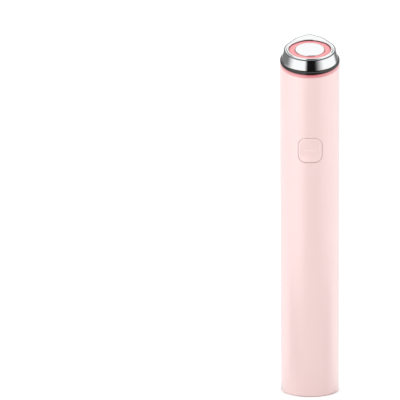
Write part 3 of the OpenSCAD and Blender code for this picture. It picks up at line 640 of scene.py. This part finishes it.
def makeButtonPad(setup):
    wide, tall = (size - 2 * setup["lip"] for size in setup["flange"])
    upright = Matrix.Rotation(pi / 2, 4, "X")
    bm = bmesh.new()
    drawPad(bm, setup, wide, tall, upright)
    bendPad(bm, setup, wide, tall)
    # back from its edge: wall, flange, skirt and web
    edges = [edge for edge in bm.edges if len(edge.link_faces) == 1]
    for scale in ((1, 1, 1), (setup["flange"][0] / wide, 1, setup["flange"][1] / tall)):
        edges, verts = drawnOut(bm, edges)
        bmesh.ops.scale(bm, verts=verts, vec=scale)
        for vert in verts:
            vert.co.y = onCurve(vert, setup["flangeFront"])
    web, skirtEnd = setup["web"], setup["web"] - setup["skirtLength"]
    inward = 1 - 2 * setup["skirtWall"] / setup["flange"][0]
    for scale, depth in ((1, skirtEnd), (inward, skirtEnd), (1, web)):
        edges, verts = drawnOut(bm, edges)
        bmesh.ops.scale(bm, verts=verts, vec=(scale, 1, scale))
        for vert in verts:
            vert.co.y = -depth * mm
    bmesh.ops.contextual_create(bm, geom=edges)
    tidied(bm)
    radius, length, height = setup["nub"]
    nubPlace = Matrix.Translation((0, (length / 2 - web) * mm, height * mm)) @ upright
    bmesh.ops.create_cone(bm, cap_ends=True, segments=setup["nubSides"], radius1=radius * mm,
                          radius2=radius * mm, depth=length * mm, matrix=nubPlace)
    place = Matrix.Translation((0, 0, (capLow.z + capHigh.z) / 2))
    addPiece("buttonPad", bm, ["buttonPink"], "button", ["button_cap"], place)


makeButtonPad(buttonPad)
print("button built")


def turned(points, closed=False, steps=160):
    # a profile of radius and height in millimetres, spun round Z
    bm = bmesh.new()
    chain = [bm.verts.new((r * mm, 0, h * mm)) for r, h in points]
    links = list(zip(chain, chain[1:]))
    if closed:
        links.append((chain[-1], chain[0]))
    edges = [bm.edges.new(link) for link in links]
    bmesh.ops.spin(bm, geom=chain + edges, cent=(0, 0, 0), axis=(0, 0, 1), angle=2 * pi,
                   steps=steps, use_merge=True)
    tidied(bm)
    return bm


def ringEdges(bm, radius, height):
    # the edges of a turned piece's circle at a radius and height in millimetres
    def onRing(vert):
        off = abs(hypot(vert.co.x, vert.co.y) - radius * mm)
        return max(off, abs(vert.co.z - height * mm)) < 2 * weld
    return [edge for edge in bm.edges if all(onRing(vert) for vert in edge.verts)]


def softened(bm, edges, size, segments):
    bmesh.ops.bevel(bm, geom=edges, offset=size * mm, segments=segments, profile=0.5,
                    affect="EDGES", material=-1)


def sheared():
    # upright rings that are cut on the slant: a height above the edge is measured straight up
    matrix = Matrix.Translation((0, 0, slantZ))
    matrix[2][1] = tan(tilt)
    return matrix


def slantedRing(setup):
    # its low and high are measured square to the slant
    bore, radius = setup["bore"], setup["radius"]
    low, high = setup["low"] / cos(tilt), setup["high"] / cos(tilt)
    bm = turned([(bore, low), (radius, low), (radius, high), (bore, high)], closed=True)
    softened(bm, ringEdges(bm, radius, high), *setup["topRound"])
    softened(bm, ringEdges(bm, radius, low), *setup["lowRound"])
    return bm


darkRing = {
    "radius": 13.5,
    "bore": 5.4,
    "low": 1.4,
    "high": 2.4,
    "topRound": (0.7, 8),  # size and segments, here and in the other pieces
    "lowRound": (0.08, 3),
}


def makeDarkRing(setup):
    bm = slantedRing(setup)
    addPiece("darkRing", bm, ["glossBlack"], "housing", ["head_flange"], sheared())


glowBand = {
    "radius": 13.5,
    "bore": 9.5,
    "low": 0.0,
    "high": 1.4,
    "topRound": (0.12, 3),
    "lowRound": (0.12, 3),
}


def makeGlowBand(setup):
    bm = slantedRing(setup)
    addPiece("glowBand", bm, ["glowPlastic"], "housing", ["glow_ring"], sheared())


lightRing = {
    "bore": 6.85,
    "radius": 9.5,
    "rim": 10.1,
    "rimHeight": 0.6,
    "low": 5.1,
    "high": 6.5,
    "topRound": (0.15, 3),
}


def makeLightRing(setup):
    bore, radius, rim = setup["bore"], setup["radius"], setup["rim"]
    low, high = setup["low"], setup["high"]
    shelf = low + setup["rimHeight"]
    profile = [(bore, low), (rim, low), (rim, shelf), (radius, shelf), (radius, high), (bore, high)]
    bm = turned(profile, closed=True)
    softened(bm, ringEdges(bm, radius, high) + ringEdges(bm, bore, high), *setup["topRound"])
    place = headSpace(faceCentre["light"])
    addPiece("lightRing", bm, ["lensPlastic"], "housing", ["ring_lens"], place)


chromeDisc = {
    "radius": 6.7,
    "low": 5.6,
    "high": 7.0,
    "stem": 1.6,
    "stemEnd": 2.6,
    "topRound": (0.35, 8),
    "lowRound": (0.1, 2),
}


def makeChromeDisc(setup):
    radius, low, high = setup["radius"], setup["low"], setup["high"]
    stem, stemEnd = setup["stem"], setup["stemEnd"]
    bm = turned([(0, high), (radius, high), (radius, low), (stem, low), (stem, stemEnd), (0, stemEnd)])
    softened(bm, ringEdges(bm, radius, high), *setup["topRound"])
    softened(bm, ringEdges(bm, radius, low), *setup["lowRound"])
    place = headSpace(faceCentre["light"])
    addPiece("chromeDisc", bm, ["chrome"], "housing", ["centre_electrode"], place)


makeDarkRing(darkRing)
makeGlowBand(glowBand)
makeLightRing(lightRing)
makeChromeDisc(chromeDisc)
print("rings and disc built")


headShell = {
    "face": 6.7,  # height of the face above the tube's edge
    # outline of the face: each arc's centre, up the slope from the first one's, and its radius
    "arcs": [(0.0, 11.7), (6.0, 8.5), (14.9, 1.1)],
    "arcSteps": [44, 10, 14],
    "straightCuts": 5,
    "rollWidth": 0.32,  # the face rolls down a little along its edge
    "rollDrop": 0.03,
    "rimRound": 0.24,
    "rimSteps": 9,
    "rim": 0.38,  # where the plate's edge ends, below the face as the next two are
    "skirtDrop": 3.9,
    "footDrop": 4.1,
    "footRadius": 12.7,
    "wall": 1.0,  # thickness of the plate over the recess
    "recess": 10.4,
    "hole": 9.6,
    "lipFoot": 10.6,
    "lipTop": 10.4,
    "lipHeight": 0.4,
    "lipOutside": (0.15, 20, 90),  # rounding of its outer edge, and the angles that it runs between
    "lipInside": (0.28, 90, 180),
    "lipSteps": 9,
    "lipSegments": 144,
    "crease": 12,
}


def leansOf(arcs):
    # the direction in which each arc meets the straight part that follows it
    return [asin((a[1] - b[1]) / (b[0] - a[0])) for a, b in zip(arcs, arcs[1:])]


def dropOutline(bm, setup, inset):
    # one vertex spun round three centres, drawn straight between them, then mirrored
    arcs = setup["arcs"]
    stops = [-pi / 2] + leansOf(arcs) + [pi / 2]
    vert = bm.verts.new((0, (inset - arcs[0][1]) * mm, 0))
    straights = []
    for (centre, radius), start, stop, steps in zip(arcs, stops, stops[1:], setup["arcSteps"]):
        if start > 0:
            straight = bmesh.ops.extrude_vert_indiv(bm, verts=[vert])
            vert = straight["verts"][0]
            reach = radius - inset
            vert.co = Vector((reach * cos(start), centre + reach * sin(start), 0)) * mm
            straights += straight["edges"]
        turn = bmesh.ops.spin(bm, geom=[vert], cent=(0, centre * mm, 0), axis=(0, 0, 1),
                              angle=stop - start, steps=steps)
        vert = next(item for item in turn["geom_last"] if isinstance(item, bmesh.types.BMVert))
    bmesh.ops.subdivide_edges(bm, edges=straights, cuts=setup["straightCuts"])
    bmesh.ops.mirror(bm, geom=bm.verts[:] + bm.edges[:], axis="X", merge_dist=weld)
    return bm.edges[:]


def outwardAngle(setup, x, y):
    # the direction in which the outline faces at a point of it
    arcs = setup["arcs"]
    angle = atan2(y, x)
    for (centre, radius), lean in zip(arcs[1:], leansOf(arcs)):
        if angle >= lean:
            angle = max(lean, atan2(y - centre * mm, x))
    return angle


def pushed(setup, verts, out, down):
    # moves a loop square to the outline, and down
    for vert in verts:
        angle = outwardAngle(setup, abs(vert.co.x), vert.co.y)
        vert.co.x += out * mm * cos(angle) * (-1 if vert.co.x < 0 else 1)
        vert.co.y += out * mm * sin(angle)
        vert.co.z -= down * mm


def drawPlateEdge(bm, setup, edges):
    # the roll of the face, then its rounding, each loop outwards and down from the one before
    edges, verts = drawnOut(bm, edges)
    pushed(setup, verts, setup["rollWidth"], setup["rollDrop"])
    size, steps = setup["rimRound"], setup["rimSteps"]
    for step in range(steps):
        before, now = (radians(90 * i / steps) for i in (step, step + 1))
        edges, verts = drawnOut(bm, edges)
        pushed(setup, verts, size * (sin(now) - sin(before)), size * (cos(before) - cos(now)))
    edges, verts = drawnOut(bm, edges)
    for vert in verts:
        vert.co.z = -setup["rim"] * mm
    return edges


def drawSkirt(bm, setup, edges):
    # slopes out to the round foot
    edges, verts = drawnOut(bm, edges)
    centre, radius = faceCentre["foot"] - faceCentre["front"], setup["footRadius"]
    for vert in verts:
        side = -1 if vert.co.x < 0 else 1
        angle = outwardAngle(setup, abs(vert.co.x), vert.co.y)
        vert.co.x = side * radius * cos(angle) * mm
        vert.co.y = (centre + radius * sin(angle)) * mm
        vert.co.z = -setup["skirtDrop"] * mm
    edges, verts = drawnOut(bm, edges)
    for vert in verts:
        vert.co.z = -setup["footDrop"] * mm
    return edges


def lipProfile(setup):
    # radius and height of each loop: the lip's two roundings, the hole and the recess below
    top, steps = setup["lipHeight"], setup["lipSteps"]
    outside, inside = setup["lipOutside"], setup["lipInside"]
    profile = []
    for centre, (size, start, stop) in ((setup["lipTop"] - outside[0], outside),
                                        (setup["hole"] + inside[0], inside)):
        for i in range(steps + 1):
            angle = radians(start + (stop - start) * i / steps)
            profile.append((centre + size * cos(angle), top - size + size * sin(angle)))
    hole, recess, under = setup["hole"], setup["recess"], -setup["wall"]
    return profile + [(hole, under), (recess, under), (recess, -setup["footDrop"])]


def drawLip(bm, setup, edges, centre):
    # gives its last loop, and the faces of the wall inside
    before, wall = setup["lipFoot"], set()
    for radius, height in lipProfile(setup):
        polished = set(bm.faces)
        edges, verts = drawnOut(bm, edges)
        bmesh.ops.scale(bm, verts=verts, vec=(radius / before, radius / before, 1),
                        space=Matrix.Translation((0, -centre * mm, 0)))
        for vert in verts:
            vert.co.z = height * mm
        if height < 0:
            wall |= set(bm.faces) - polished
        before = radius
    return edges, wall


def makeHeadShell(setup):
    bm = bmesh.new()
    outline = dropOutline(bm, setup, setup["rimRound"] + setup["rollWidth"])
    rimEdges = drawPlateEdge(bm, setup, outline)
    paintedDarkEdge = set(bm.faces)
    footEdges = drawSkirt(bm, setup, rimEdges)
    # the face's plate lies between the outline and the lip's foot
    centre = faceCentre["light"] - faceCentre["front"]
    made = bmesh.ops.create_circle(bm, cap_ends=False, radius=setup["lipFoot"] * mm,
                                   segments=setup["lipSegments"],
                                   matrix=Matrix.Translation((0, centre * mm, 0)))
    circle = list({edge for vert in made["verts"] for edge in vert.link_edges})
    bmesh.ops.bridge_loops(bm, edges=outline + circle)
    # the lip's inner wall faces, which get a painted dark reflection
    innerEdges, paintedDarkWall = drawLip(bm, setup, circle, centre)
    bmesh.ops.bridge_loops(bm, edges=footEdges + innerEdges)
    # painted dark reflections: the chrome wall round the light ring is given the black finish, and the
    # plate's edge a darker chrome, for the dark that they mirror
    looks = ["chrome", "glossBlack", "paintedDarkEdgeChrome"]
    for look, faces in (("glossBlack", paintedDarkWall), ("paintedDarkEdgeChrome", paintedDarkEdge)):
        for face in faces:
            face.material_index = looks.index(look)
    tidied(bm)
    place = headSpace(faceCentre["front"], setup["face"])
    addPiece("headShell", bm, looks, "housing", ["head_shell"], place, setup["crease"])


makeHeadShell(headShell)
print("head built")
